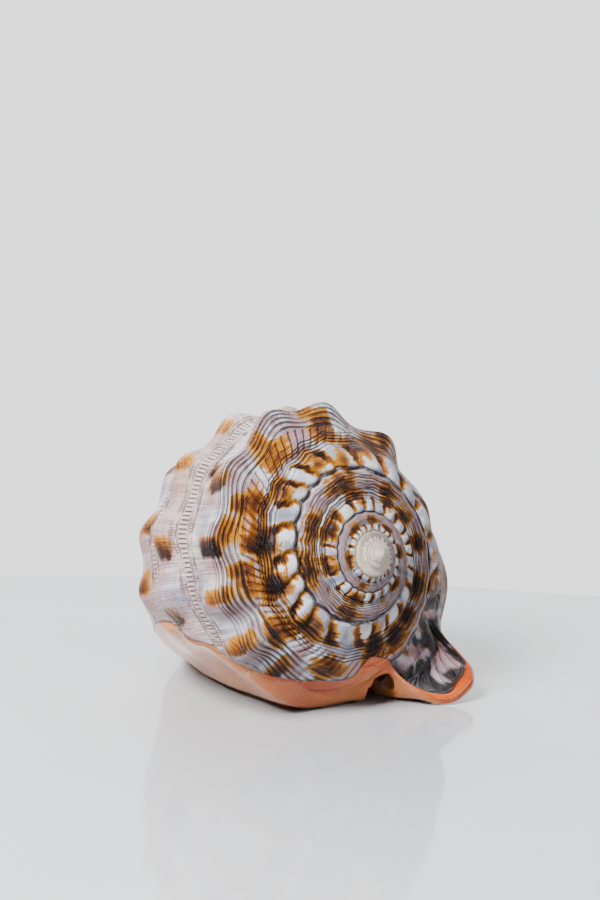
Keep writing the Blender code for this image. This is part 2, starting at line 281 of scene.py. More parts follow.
def top_relief(angle, out, inside):
    """Nodules, ribs and threads on the big whorl's top; out from the suture, inside the shoulder."""
    sculptured = 1.0 - ease(-66.0, -56.0, signed(angle)) * (1.0 - ease(14.0, 24.0, signed(angle)))
    nodules = TOP_NODULE_HEIGHT * nodule_lobes(angle % 360.0 + NODULE_LEAN * out)
    nodules = nodules * between(0.0, 8.4, 1.6, out)
    ribs = RIB_HEIGHT * np.abs(np.sin(math.pi * (angle + RIB_LEAN * inside) / RIB_SPACING))
    ribs = ribs * between(5.4, 11.0, 1.2, inside) * ease(9.0, 10.0, out)
    threads = THREAD_HEIGHT * np.cos(2.0 * math.pi * inside / THREAD_SPACING)
    threads = threads * ease(6.0, 5.2, inside) * ease(8.0, 9.0, out)
    return (nodules * np.where(out > 0.0, 1.0, 0.0) + ribs + threads) * sculptured


def bowed(angle, back):
    """Distance behind the shoulder for bands that bow towards it as they near the shield."""
    return back + BAND_BOW * np.maximum(BOW_START - angle % 360.0, 0.0)


def side_relief(angle, back):
    """Cross beads between two ropes with a channel outside each, and low cords further back."""
    height = np.zeros_like(back)
    cords = CORD_HEIGHT * np.cos(2.0 * math.pi * back / CORD_SPACING) * ease(62.0, 72.0, back)
    back = bowed(angle, back)
    for middle, half, tall in BEADED_BANDS:
        ropes = bump(middle - half, 0.7, back) + bump(middle + half, 0.7, back)
        channel = (-CHANNEL_DEPTH * bump(middle - half - CHANNEL_OFFSET, 0.5, back)
                   - CHANNEL_DEPTH * bump(middle + half + CHANNEL_OFFSET, 0.5, back))
        ribs = 0.6 * between(middle - half, middle + half, 0.8, back)
        ribs = ribs * np.abs(np.sin(math.pi * angle / BEAD_SPACING))
        height += tall * (ropes + channel + ribs)
    return height + cords


# Lip, rim, shield and mouth
# The lip flares out and turns up in a rolled, glazed rim with a trough behind it. The shield is
# a thin glazed sheet over the side by the mouth, whose two edges are toothed and folded.
SHIELD_THICKNESS = 1.8
SHIELD_LIFT = 0.055
SHIELD_FLAT = 12.0
LIP_REACH = 11.5
LIP_BASE = 8.0
TROUGH_DEPTH, TROUGH_BACK, TROUGH_WIDTH = 5.0, 10.0, 4.5
RIM_HEIGHT, RIM_BACK, RIM_WIDTH = 2.5, 3.2, 2.6
EDGE_SLOPE, RIM_SLOPE = 0.75, 0.9
LOWER_LEFT_LOSS, UPPER_RIGHT_LOSS, CROWN_GAIN = 0.18, 0.10, 0.16
SHOULDER_REACH, REACH_LOSS_BY_FLOOR = 4.0, 1.9
NO_FLOOR = 400.0
WALL, WALL_SHARE = 5.5, 0.28
COLUMELLA_SHARE = 0.42
COLUMELLA_EDGE = -9.0
LIP_EDGE = -20.5
CHAMBER_END = -205.0
# Shares of the walk round the chamber: lip, outer wall from and to, inner from and to, columella
CHAMBER_STOPS = (0.0, 0.14, 0.56, 0.64, 0.86, 1.0)
MOUTH_WIDENING = 9.0
TOOTH_SPACING, TOOTH_DEPTH = 5.2, 1.1
# The shield's margin: a depth and an angle
SHIELD_MARGIN = ((24, 8.0), (28, 26.0), (31, 46.0), (38, 60.0), (50, 70.0), (66, 76.0),
                 (90, 74.0), (115, 60.0), (137, 40.0))
# Inner edge of the rim's glaze: an angle and a radius
RIM_LINE = ((-70, 60.0), (-58, 50.0), (-52, 49.5), (-45, 56.5), (-33, 56.5), (-27, 53.0), (-24, 47.0),
            (-22, 42.0), (-18, 37.0), (-12, 34.0), (-5, 32.5), (0, 35.0), (5, 38.0), (10, 39.3),
            (20, 40.2), (30, 42.4), (38, 46.0), (62, 62.0))


def spire_depth(radius):
    """Depth of the plain spire cone with its rounded tip."""
    return SPIRE_SLOPE * radius + TIP_RISE * (1.0 - np.exp(-(radius / TIP_RADIUS) ** 1.4))


def top_depth(angle, radius):
    """Depth of the spire, the whorl's top and the flared back of the rim."""
    edge_radius, edge_depth = edge_line(angle)
    start = np.minimum(through(CONE_END, angle % 360.0), edge_radius - 4.0)
    start_depth = spire_depth(start)
    turn = signed(angle)
    flare = ease(-60.0, -40.0, turn) * (1.0 - ease(-24.0, -12.0, turn))
    rim = ease(-24.0, -8.0, turn) * (1.0 - ease(20.0, 45.0, turn))
    end_slope = EDGE_SLOPE - EDGE_SLOPE * flare - RIM_SLOPE * rim
    width = edge_radius - start
    part = np.clip((radius - start) / width, 0.0, 1.0)
    square, cube = part ** 2, part ** 3
    outer = (start_depth * (2 * cube - 3 * square + 1) + edge_depth * (3 * square - 2 * cube)
             + width * SPIRE_SLOPE * (cube - 2 * square + part)
             + width * end_slope * (cube - square))
    trough = bump(edge_radius - TROUGH_BACK, TROUGH_WIDTH, radius)
    outer = outer + TROUGH_DEPTH * trough * flare * ease(0.0, 0.3, part)
    outer = outer - RIM_HEIGHT * bump(edge_radius - RIM_BACK, RIM_WIDTH, radius) * flare
    plain = np.where(radius < start, spire_depth(radius), outer)
    place, width = whorl_place(angle, radius)
    wound = wound_angle(angle, place)
    inside = np.maximum(edge_radius - radius, 0.0)
    out = np.where(place >= 0.0, radius - suture_radius(wound), -1.0)
    knobs = TOP_KNOB_SHARE * knob_relief(angle, -inside) * ease(-6.0, 8.0, radius - start)
    return plain - knobs - spire_relief(place, width, wound) - top_relief(angle, out, inside)


def section_height(depth):
    """Height of the section's middle over the floor."""
    return (APEX_HEIGHT - depth * math.sin(COIL_TILT)
            + through(MIDDLE_DROP, depth) * math.cos(COIL_TILT))


def side_radius(angle, depth):
    """Outside radius of the body, the shield and the lip about the section's middle."""
    turn = signed(angle)
    edge_radius, edge_depth = edge_line(angle)
    body = through(BODY_TAPER, depth)
    lower_left = bump(44.0, 27.0, turn) * ease(22.0, 55.0, depth)
    upper_right = bump(205.0, 55.0, angle % 360.0)
    crown = bump(180.0, 55.0, angle % 360.0) * bump(98.0, 18.0, depth)
    body = body * (1.0 - LOWER_LEFT_LOSS * lower_left - UPPER_RIGHT_LOSS * upper_right
                   + CROWN_GAIN * crown)
    scale = np.clip(body / 48.0, 0.25, 1.0)
    lip = ease(-56.5, -49.5, turn) * (1.0 - ease(-30.0, -14.0, turn))
    body = body + LIP_REACH * lip * ease(0.1, 0.7, scale)
    margin = through(SHIELD_MARGIN, depth)
    inside = 1.0 - ease(-1.5, 1.5, turn - margin)
    on_shield = inside * ease(-14.0, -6.0, turn)
    body = body + SHIELD_THICKNESS * on_shield * scale
    sculptured = 1.0 - inside * ease(-90.0, -70.0, turn)
    back = np.maximum(depth - edge_depth, 0.0)
    body = body + (knob_relief(angle, back) + side_relief(angle, back)) * sculptured * scale
    cosine = np.maximum(np.cos(np.radians(turn)), 0.05)
    floor = section_height(depth) / (cosine * math.cos(COIL_TILT))
    floor = floor * (1.0 - SHIELD_LIFT * ease(SHIELD_FLAT, 34.0, turn))
    floor = np.where(np.abs(turn) < 80.0, floor, NO_FLOOR)
    body = softer_least(body, floor, 3.0)
    teeth = ease(-42.0, -30.0, turn) * (1.0 - ease(4.0, 14.0, turn)) * ease(26.0, 34.0, depth)
    gaps = 1.0 - ease(0.25, 0.55, np.abs(np.sin(math.pi * depth / TOOTH_SPACING)))
    body = body - TOOTH_DEPTH * teeth * gaps
    floorward = ease(-56.0, -46.0, turn) * (1.0 - ease(25.0, 50.0, turn))
    reach = SHOULDER_REACH - REACH_LOSS_BY_FLOOR * floorward
    edge = edge_radius + shoulder_knobs(angle)
    return body + (edge - body) * np.exp(-(back / reach) ** 1.5)


def section_point(angle, radius, depth):
    """Across and up from the coil axis, for a section with a moved middle."""
    across = through(MIDDLE_SIDE, depth) - radius * np.sin(np.radians(angle))
    up = through(MIDDLE_DROP, depth) - radius * np.cos(np.radians(angle))
    return across, up


def to_world(across, up, depth):
    """From the coil's own axes to the floor's."""
    return np.stack([across,
                     depth * math.cos(COIL_TILT) + up * math.sin(COIL_TILT),
                     APEX_HEIGHT - depth * math.sin(COIL_TILT) + up * math.cos(COIL_TILT)], axis=-1)


def walk(share, stops, values):
    """Straight-line walk between values, which may differ from ring to ring."""
    total = 0.0
    for index, value in enumerate(values):
        weights = np.zeros(len(stops))
        weights[index] = 1.0
        total = total + np.interp(share, stops, weights) * value
    return total


def chamber_path(depth, share, columella_edge, lip_edge):
    """Angle and radius of a walk round the chamber's wall, from lip to columella."""
    angle = walk(share, CHAMBER_STOPS,
                 (lip_edge, lip_edge - 4.0, CHAMBER_END + 8.0, CHAMBER_END + 4.0,
                  columella_edge - 5.0, columella_edge))
    _, outer_from, outer_to, inner_from, inner_to, _ = CHAMBER_STOPS
    body = through(BODY_TAPER, depth)
    wall = np.minimum(WALL, WALL_SHARE * body)
    outer = body - wall - 3.5 * bump(-135.0, 50.0, angle)
    floor = section_height(depth) / np.maximum(np.cos(np.radians(angle)), 0.05)
    outer = np.minimum(outer, floor - np.minimum(LIP_BASE, 0.35 * floor))
    inner = np.minimum(COLUMELLA_SHARE * body, COLUMELLA_SHARE * floor)
    lip = softer_least(side_radius(angle, depth), floor, 1.0)
    on_lip = 1.0 - ease(0.0, outer_from, share)
    on_outer = ease(0.0, outer_from, share) * (1.0 - ease(outer_to, inner_from, share))
    on_inner = ease(outer_to, inner_from, share) * (1.0 - ease(inner_to, 1.0, share))
    on_columella = ease(inner_to, 1.0, share)
    radius = lip * (on_lip + on_columella) + outer * on_outer + inner * on_inner
    return angle, radius


# Pigment laid down in spurts
# The lip paused now and then and laid down a brown blotch. Each is an angle wound, a distance
# out from the suture, a half width in degrees, a half length in millimetres and a darkness.
TOP_SPURTS = (
    (-6, 9, 6, 6, 1.0), (-24, 10, 6, 4, 1.0), (20, 15, 7, 3, 0.5), (48, 6.5, 8, 3.5, 1.0),
    (58, 15, 6, 3, 0.7), (80, 8, 8, 4.5, 1.0), (84, 17, 5, 3, 0.6), (103, 10, 8, 4.5, 1.0),
    (108, 20, 5.5, 3.2, 0.35), (121, 13, 5, 4, 0.45), (134, 7.5, 5, 3.5, 0.7),
    (145, 16.5, 6, 4, 0.35), (161, 4.5, 5, 3, 0.55), (174, 12, 5, 3, 0.6), (178, 3, 4, 3, 0.55),
    (192, 7, 7, 3, 0.9), (205, 10, 5, 4, 0.6), (213, 13, 3, 4, 0.6), (226, 6, 4, 4, 0.8),
    (243, 8, 4, 7, 0.9), (262, 8, 5, 7, 0.9), (276, 7, 4, 7, 1.0), (292, 6, 5, 7, 1.0),
    (310, 6, 6, 7, 1.0), (-330, 2.8, 12, 2.0, 0.8), (-275, 3.2, 11, 3.0, 0.7),
    (-235, 3.2, 13, 2.0, 0.9), (-182, 5.2, 7, 2.4, 0.8), (-143, 5.4, 6, 2.6, 0.8),
    (-122, 6.4, 7, 2.6, 0.9), (-95, 8, 7, 2.6, 1.0), (-62, 8, 8, 3.0, 1.0), (-38, 8.5, 6, 3.0, 1.0),
    (-240, 9.2, 11, 2.2, 0.5), (-192, 10.3, 10, 2.4, 0.5), (-146, 8.8, 7, 2.4, 0.45),
    (-330, 7.2, 10, 1.4, 0.4), (-275, 9.3, 11, 2.0, 0.4), (-181, 12.9, 4, 1.0, 0.3),
    (-635, 1.6, 14, 1.2, 0.6), (-690, 3.0, 7, 0.9, 0.4), (-575, 2.6, 9, 1.0, 0.4),
    (-530, 3.4, 10, 1.0, 0.5), (-495, 2.5, 8, 1.0, 0.4), (-450, 3.0, 8, 1.2, 0.5),
    (-400, 3.2, 9, 1.3, 0.5),
)
# On the knobs: an angle, a distance behind the shoulder, half sizes and a darkness
SIDE_SPURTS = (
    (131.5, 9.5, 4.5, 3.2, 0.75), (124, 4, 4.0, 4.5, 0.7), (100.5, 2.0, 4.2, 4.2, 1.0),
    (105.5, -2.4, 5.0, 2.0, 0.5), (82.5, 2.0, 3.6, 4.6, 0.45), (62, 2.0, 4.0, 5.0, 0.5),
    (41, 2, 4, 5, 0.7), (144.5, -1.0, 3.2, 6.0, 0.35), (171, 1.5, 3.8, 4.5, 0.5),
    (176.5, -4.0, 4.0, 2.5, 0.4), (212.5, 1.0, 4.0, 4.0, 0.75), (234, 2, 4, 5, 0.8),
    (252, 3, 4.5, 5, 0.6), (284, 3, 5, 6, 0.8), (102, -9.3, 4.5, 3.0, 0.9),
    (91, -4.5, 3.5, 3.0, 0.5), (118, -5.0, 4.0, 3.0, 0.5), (131.5, 23, 3.6, 4.0, 0.4),
    (100, 23, 4.2, 4.0, 0.7), (76.5, 25, 4.0, 4.0, 0.7), (153, 23, 3.6, 4.5, 0.4),
    (113.5, 38, 4.5, 4.0, 0.5), (60, 24, 4, 4, 0.5), (176, 25, 4, 4, 0.6), (208, 25, 5, 5, 0.5),
    (240, 24, 5, 5, 0.6), (274, 25, 5, 6, 0.6), (92, 41, 4.5, 4, 0.5), (138, 42, 4.5, 4, 0.6),
    (164, 42, 4.5, 4, 0.5), (196, 43, 5, 4, 0.5), (228, 42, 5, 4, 0.6), (262, 42, 5, 5, 0.5),
    (292, 40, 5, 5, 0.6), (104, 60, 6, 4, 0.5), (132, 60, 6, 4, 0.6), (158, 61, 6, 5, 0.5),
    (190, 60, 6, 5, 0.5), (222, 60, 6, 5, 0.6), (256, 60, 6, 5, 0.5), (284, 60, 6, 5, 0.5),
    (122, 80, 7, 6, 0.5), (160, 79, 8, 6, 0.4), (204, 80, 8, 6, 0.5), (250, 80, 8, 6, 0.4),
)
# Mauve patches without brown: an angle, a distance behind the shoulder and half sizes
MAUVE_SPOTS = (
    (93, 2.8, 5, 6), (76, 0.5, 5, 6), (126, -1.5, 6, 4), (164, 0, 5, 5), (219, -1, 6, 5),
    (118, 7, 4, 4), (92, 24, 5, 5), (122, 24, 5, 5), (145, 23, 5, 5), (68, 25, 5, 5),
    (106, 40, 5, 5), (240, 8, 8, 8), (185, 24, 6, 6), (215, 42, 7, 6), (150, 60, 8, 6),
    (270, 30, 8, 8), (200, 70, 9, 7),
)
TOP_SPREAD_ROUND, TOP_SPREAD_OUT = 1.35, 1.25
SIDE_SPREAD = 1.15


def top_stains(wound, out):
    """Strength and darkness of the blotches on the spire and the whorl's top."""
    strength, darkness = np.zeros_like(out), np.zeros_like(out)
    for angle, middle, wide, long, dark in TOP_SPURTS:
        spot = bump(angle, TOP_SPREAD_ROUND * wide, wound) * bump(middle, TOP_SPREAD_OUT * long, out)
        darkness = np.where(spot > strength, dark, darkness)
        strength = np.maximum(strength, spot)
    return strength, darkness


def side_stains(angle, back):
    """Strength, darkness and mauve edge of the blotches along the knob rows."""
    strength, darkness, mauve = np.zeros_like(back), np.zeros_like(back), np.zeros_like(back)
    for stain_angle, middle, wide, long, dark in SIDE_SPURTS:
        shift = signed(angle - stain_angle) / wide
        rows = np.exp(-((back - middle) / (SIDE_SPREAD * long)) ** 4)
        spot = np.exp(-(shift / SIDE_SPREAD) ** 4) * rows
        paler = dark * (0.85 - 0.45 * np.clip(shift, -1.0, 1.0))
        darkness = np.where(spot > strength, paler, darkness)
        strength = np.maximum(strength, spot)
        mauve = np.maximum(mauve, 0.8 * bump(-1.9, 0.9, shift) * rows)
    for stain_angle, middle, wide, long in MAUVE_SPOTS:
        mauve = np.maximum(mauve, bump(stain_angle, wide, angle % 360.0) * bump(middle, long, back))
    return strength, darkness, mauve


def bead_place(angle, back):
    """Distance from the middle of the nearest beaded band."""
    return np.min([np.abs(bowed(angle, back) - middle) for middle, _, _ in BEADED_BANDS], axis=0)


# Shell mesh
# A sphere's rings and loops are moved onto the grown form: rings from the apex to the narrow end,
# loops round the coil, with a share of each loop folded in through the mouth.
LOOP = 400
OUTER_POINTS = 310
SPIRE_RINGS = 104
RINGS = 249
ROUND_RINGS = 44.0
SHOULDER_ROUNDING = 24
CLOSE_SHARES = (0.0, 0.13, 0.80, 1.0)
CLOSE_FROM, CLOSE_TO = 48.0, 288.0
NOT_GLAZED = -20.0
NO_BEADS = 50.0


def mouth_share():
    """Shares of the way across the mouth for the points inside it."""
    count = LOOP - OUTER_POINTS
    return (np.arange(count) + 1.0) / (count + 1.0)


def loop_angles(columella_edge, lip_edge, spread):
    """Angles of each whole loop, from even on the spire to close at the lip and the mouth."""
    share = np.linspace(0.0, 1.0, OUTER_POINTS)
    close = walk(share, CLOSE_SHARES, (columella_edge, CLOSE_FROM, CLOSE_TO, 360.0 + lip_edge))
    whole = columella_edge + 360.0 * np.arange(OUTER_POINTS) / LOOP
    outer = whole + (close - whole) * spread
    last = outer[:, -1:]
    inner = last + (columella_edge + 360.0 - last) * mouth_share()
    return np.concatenate([outer, inner], axis=1)


def spire_rows():
    """Places and growth values of the rings from the apex to the shoulder."""
    part = (np.arange(SPIRE_RINGS + 1) / SPIRE_RINGS)[:, None]
    angle = loop_angles(COLUMELLA_EDGE, LIP_EDGE, ease(0.15, 0.60, part))
    edge_radius, _ = edge_line(angle)
    radius = part * (ROUND_RINGS + (edge_radius - ROUND_RINGS) * ease(0.60, 1.0, part))
    back = radius - edge_radius
    radius = radius + shoulder_knobs(angle) * ease(0.80, 1.0, part)
    sine, cosine = np.sin(np.radians(angle)), np.cos(np.radians(angle))
    points = to_world(-radius * sine, -radius * cosine, top_depth(angle, radius))
    place, _ = whorl_place(angle, radius)
    wound = wound_angle(angle, place)
    out = radius - suture_radius(wound)
    on_rim = np.abs(signed(angle)) < 70.0
    values = {
        "turn_cosine": cosine,
        "turn_sine": sine,
        "whorls": place + (angle % 360.0) / 360.0,
        "from_suture": out,
        "past_shoulder": back,
        "glaze": np.where(on_rim, radius - through(RIM_LINE, signed(angle)), NOT_GLAZED),
        "mouth": np.zeros_like(radius),
    }
    strength, darkness = top_stains(wound, out)
    knob_strength, knob_darkness, mauve = side_stains(angle, back)
    on_knobs = knob_strength > strength
    values["stain"] = np.maximum(strength, knob_strength)
    values["darkness"] = np.where(on_knobs, knob_darkness, darkness)
    values["mauve"] = mauve
    values["beads"] = np.full_like(radius, NO_BEADS)
    return points, values


def body_rows():
    """Places and growth values of the rings behind the shoulder, with the way in at the mouth."""
    part = (np.arange(1, RINGS - SPIRE_RINGS + 1) / (RINGS - SPIRE_RINGS))[:, None]
    way = 1.35 * part ** 1.5 - 0.35 * part ** 3.5
    widening = MOUTH_WIDENING * ease(0.10, 0.75, way)
    columella_edge, lip_edge = COLUMELLA_EDGE + 0.4 * widening, LIP_EDGE - 0.6 * widening
    angle = loop_angles(columella_edge, lip_edge, 1.0)
    edge_radius, edge_depth = edge_line(angle)
    edge = edge_radius + shoulder_knobs(angle)
    start_depth = top_depth(angle, edge)
    depth = start_depth + (COIL_LENGTH - start_depth) * way
    back = depth - start_depth
    back = back + (start_depth - edge_depth) * ease(1.0, 9.0, back)
    radius = side_radius(angle, depth)
    across, up = section_point(angle, radius, depth)
    inside = slice(OUTER_POINTS, LOOP)
    inner_depth = depth[:, inside]
    path = chamber_path(inner_depth, mouth_share(), columella_edge, lip_edge)
    in_across, in_up = section_point(*path, inner_depth)
    opening = ease(-2.0, 26.0, inner_depth - start_depth[:, inside])
    opening = np.minimum(opening, 1.0 - 0.90 * ease(96.0, 122.0, inner_depth))
    opening = opening * (1.0 - ease(132.0, 137.0, inner_depth))
    across[:, inside] += (in_across - across[:, inside]) * opening
    up[:, inside] += (in_up - up[:, inside]) * opening
    turn = signed(angle)
    margin = through(SHIELD_MARGIN, depth + 3.0)
    place, _ = whorl_place(angle, edge)
    mouth = np.zeros_like(radius)
    mouth[:, inside] = opening * np.sin(math.pi * mouth_share())
    values = {
        "turn_cosine": np.cos(np.radians(angle)),
        "turn_sine": np.sin(np.radians(angle)),
        "whorls": place + (angle % 360.0) / 360.0,
        "from_suture": edge - suture_radius(angle % 360.0) + back,
        "past_shoulder": back,
        "glaze": np.minimum(margin - turn, turn + 56.0) * np.radians(1.0) * radius,
        "mouth": mouth,
    }
    values["stain"], values["darkness"], values["mauve"] = side_stains(angle, back)
    values["beads"] = bead_place(angle, back)
    return to_world(across, up, depth), values


def rounded_shoulder(points, past, turn):
    """Rounds the crease where the whorl's top turns into its side."""
    share = 0.9 * bump(0.0, 4.0, past) * (0.25 + 0.75 * ease(50.0, 70.0, np.abs(turn)))
    for _ in range(SHOULDER_ROUNDING):
        middle = (points[:-2] + points[2:]) / 2.0
        points[1:-1] += (middle - points[1:-1]) * share[1:-1, :, None]
    return points


def grown_shell():
    """The shell's mesh, in metres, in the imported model's place, with its growth values."""
    top_points, top_values = spire_rows()
    body_points, body_values = body_rows()
    points = np.concatenate([top_points, body_points])
    past, sine, cosine = [np.concatenate([top_values[name], body_values[name]])
                          for name in ("past_shoulder", "turn_sine", "turn_cosine")]
    points = rounded_shoulder(points, past, np.degrees(np.arctan2(sine, cosine)))
    for pole in (0, RINGS):
        points[pole] = points[pole].mean(axis=0)
    low, high = points.min(axis=(0, 1)), points.max(axis=(0, 1))
    low_corner, size = np.array(cad_low), np.array(cad_high - cad_low)
    points = low_corner + (points - low) * (size / (high - low))
    form = bmesh.new()
    bmesh.ops.create_uvsphere(form, u_segments=LOOP, v_segments=RINGS, radius=1.0)
    places = []
    for corner in form.verts:
        ring = round(math.acos(max(-1.0, min(1.0, corner.co.z))) / math.pi * RINGS)
        step = round(math.atan2(corner.co.y, corner.co.x) / (2.0 * math.pi) * LOOP) % LOOP
        places.append((ring, step))
        corner.co = points[ring, step]
    if form.calc_volume(signed=True) < 0.0:
        bmesh.ops.reverse_faces(form, faces=form.faces)
    mesh = bpy.data.meshes.new("shell_surface")
    form.to_mesh(mesh)
    form.free()
    mesh.shade_smooth()
    rings, steps = np.array(places).T
    for name in top_values:
        whole = np.concatenate([top_values[name], body_values[name]])
        layer = mesh.attributes.new(name, "FLOAT", "POINT")
        layer.data.foreach_set("value", whole[rings, steps].astype(np.float32))
    return mesh


shell = bpy.data.objects.new("shell_surface", grown_shell())
bpy.context.scene.collection.objects.link(shell)
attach(shell, "root")
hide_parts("shell")


# Colours of the shell
# Cool white and lilac lime under brown pigment that the lip laid down in spurts: bars between
# nodules, blotches on the knobs, dark spiral threads, and an orange glaze on rim and shield.
LIME_WHITE, LIME_LILAC, LIME_WARM = "#C3C6CF", "#858799", "#D6CCC2"
PINK_MAUVE, TIP_CREAM, ROSE = "#96706C", "#DCCDB4", "#A67A64"
GROWTH_SHADE, GROWTH_CREAM, GROWTH_LINE = "#84727E", "#D9CBB6", "#625C70"
BROWN_STAIN = ((0.0, "#A87C38"), (0.09, "#96600F"), (0.23, "#66360A"), (0.38, "#341806"),
               (0.66, "#120705"))
TIP_DOTS, RIB_GAP, DARK_THREAD = "#B07818", "#5C2A10", "#140B0E"
# The last colour on the next line is painted shadow along the sutures, under each overhanging ridge
BAND_PINK, BEAD_GAP, PAINTED_SUTURE_SHADOW = "#BCA298", "#321C16", "#241006"
TROUGH_BLACK, TROUGH_PINK = "#080506", "#9F8088"
RIM_ORANGE, RIM_LIGHTER, SHIELD_PEACH = "#963604", "#A84A10", "#AC6836"
GLAZE_PALE, GLAZE_PEACH, GLAZE_CREAM = "#D8A27E", "#B27040", "#D8B890"
FOLD_BROWN, GLAZE_EDGE_BROWN, MOUTH_BROWN = "#3C1606", "#3A1808", "#5E2410"
SPIRE_REACH = 19.0
TINY_BEAD_SPACING = 0.95
BEAD_LINE_START = 1.7
DARK_CORD_SPACING = 2.1


class Field:
    """A number that changes over the surface, as one socket of a shader."""

    def __init__(self, tree, socket):
        self.tree = tree
        self.socket = socket

    def math(self, operation, *others):
        """The result of one Math node on this field and others."""
        node = self.tree.nodes.new("ShaderNodeMath")
        node.operation = operation
        plug(self, node.inputs[0])
        for other, entry in zip(others, list(node.inputs)[1:]):
            plug(other, entry)
        return Field(self.tree, node.outputs[0])

    def __add__(self, other):
        return self.math("ADD", other)

    def __sub__(self, other):
        return self.math("SUBTRACT", other)

    def __mul__(self, other):
        return self.math("MULTIPLY", other)

    def __truediv__(self, other):
        return self.math("DIVIDE", other)

    def __neg__(self):
        return self.math("MULTIPLY", -1.0)

    def flipped(self):
        """One minus this field."""
        return (-self) + 1.0

    def most(self, other):
        """The greater of two fields."""
        return self.math("MAXIMUM", other)

    def least(self, other):
        """The lesser of two fields."""
        return self.math("MINIMUM", other)

    def ease(self, low, high):
        """Smooth step from 0 at low to 1 at high."""
        node = self.tree.nodes.new("ShaderNodeMapRange")
        node.interpolation_type = "SMOOTHSTEP"
        plug(self, node.inputs["Value"])
        plug(low, node.inputs["From Min"])
        plug(high, node.inputs["From Max"])
        return Field(self.tree, node.outputs["Result"])

    def between(self, low, high, soft):
        """1 from low to high, fading over a soft width inside each end."""
        return self.ease(low, low + soft) * self.ease(high - soft, high).flipped()

    def wave(self, period):
        """Distance to the nearest whole period, from 0 on it to 1 half way between."""
        share = (self / period + 0.5).math("FRACT")
        return (share - 0.5).math("ABSOLUTE") * 2.0

    def grooves(self, period, core, edge):
        """1 on each whole period, fading out from core to edge, as shares of half a period."""
        return self.wave(period).ease(core, edge).flipped()


def plug(value, entry):
    """Links a field to a socket, or sets a plain number on it."""
    if isinstance(value, Field):
        value.tree.links.new(value.socket, entry)
    else:
        entry.default_value = value


def growth_value(tree, name):
    """One of the growth values kept on the mesh."""
    node = tree.nodes.new("ShaderNodeAttribute")
    node.attribute_name = name
    return Field(tree, node.outputs["Fac"])


def point_of(first, second, third=0.0):
    """A vector of three fields, for a texture that follows the growth."""
    node = first.tree.nodes.new("ShaderNodeCombineXYZ")
    for value, entry in zip((first, second, third), node.inputs):
        plug(value, entry)
    return node.outputs["Vector"]


def cloud(tree, vector, scale, detail=2.0, roughness=0.5):
    """Soft noise from 0 to 1."""
    node = tree.nodes.new("ShaderNodeTexNoise")
    node.inputs["Scale"].default_value = scale
    node.inputs["Detail"].default_value = detail
    node.inputs["Roughness"].default_value = roughness
    tree.links.new(vector, node.inputs["Vector"])
    return Field(tree, node.outputs["Fac"])


def colour(code):
    """Linear colour from a hex code."""
    parts = [int(code[start:start + 2], 16) / 255.0 for start in (1, 3, 5)]
    linear = [part / 12.92 if part <= 0.04045 else ((part + 0.055) / 1.055) ** 2.4 for part in parts]
    return (*linear, 1.0)


def blended(share, first, second):
    """First colour where share is 0, second where it is 1; each a hex code or a colour socket."""
    tree = share.tree
    node = tree.nodes.new("ShaderNodeMix")
    node.data_type = "RGBA"
    plug(share, node.inputs["Factor"])
    for value, name in ((first, "A"), (second, "B")):
        entry = [socket for socket in node.inputs if socket.name == name and socket.type == "RGBA"][0]
        if isinstance(value, str):
            entry.default_value = colour(value)
        else:
            tree.links.new(value, entry)
    return [socket for socket in node.outputs if socket.type == "RGBA"][0]


def stained(field, stops):
    """Colour ramp from stops of place and hex code."""
    node = field.tree.nodes.new("ShaderNodeValToRGB")
    ramp = node.color_ramp
    while len(ramp.elements) < len(stops):
        ramp.elements.new(0.5)
    for element, (place, code) in zip(ramp.elements, stops):
        element.position = place
        element.color = colour(code)
    plug(field, node.inputs["Fac"])
    return node.outputs["Color"]


material = bpy.data.materials.new("glazed_shell_surface")
material.use_nodes = True
tree = material.node_tree
shader = tree.nodes["Principled BSDF"]

# Where each point lies on the coil
turn = growth_value(tree, "turn_sine").math("ARCTAN2", growth_value(tree, "turn_cosine"))
turn = (turn / (2.0 * math.pi)).math("FRACT")
whorl = growth_value(tree, "whorls") - turn
index = whorl.math("FLOOR").least(0.0)
across = whorl - index
wound = (index + turn) * 360.0
out = growth_value(tree, "from_suture")
past = growth_value(tree, "past_shoulder")
glaze = growth_value(tree, "glaze")
mouth = growth_value(tree, "mouth")
on_spire = whorl.ease(-0.004, 0.004).flipped()
on_whorl = on_spire.flipped()
on_side = past.ease(-0.5, 0.5)
on_top = on_side.flipped()
position = tree.nodes.new("ShaderNodeTexCoord").outputs["Object"]
spread = out.most(0.0)
along = wound * 0.1
grain = cloud(tree, position, 900.0, 3.0)
soft_grain = cloud(tree, position, 160.0, 2.0)
patches = cloud(tree, position, 60.0, 2.0)

# Noise that runs with the growth: fingers across the spiral, wisps and hatching along it
fingers = cloud(tree, point_of(wound * 0.16, spread * 0.13), 1.0, 3.0, 0.6)
wisps = cloud(tree, point_of(wound * 0.06, spread * 0.55, 3.0), 1.0, 3.0, 0.5)
hatch = cloud(tree, point_of(wound * 0.05, spread * 2.4, 6.0), 1.0, 1.0)
growth = cloud(tree, point_of(wound * 1.6, spread * 0.06, 1.0), 1.0, 3.0, 0.7)
mottle = (fingers + wisps - 1.0) * 1.35 + (hatch - 0.5) * 0.45 + (growth - 0.5) * 0.15
stain = growth_value(tree, "stain")
mottle = mottle * ((stain * on_side * -0.45) + 1.0)

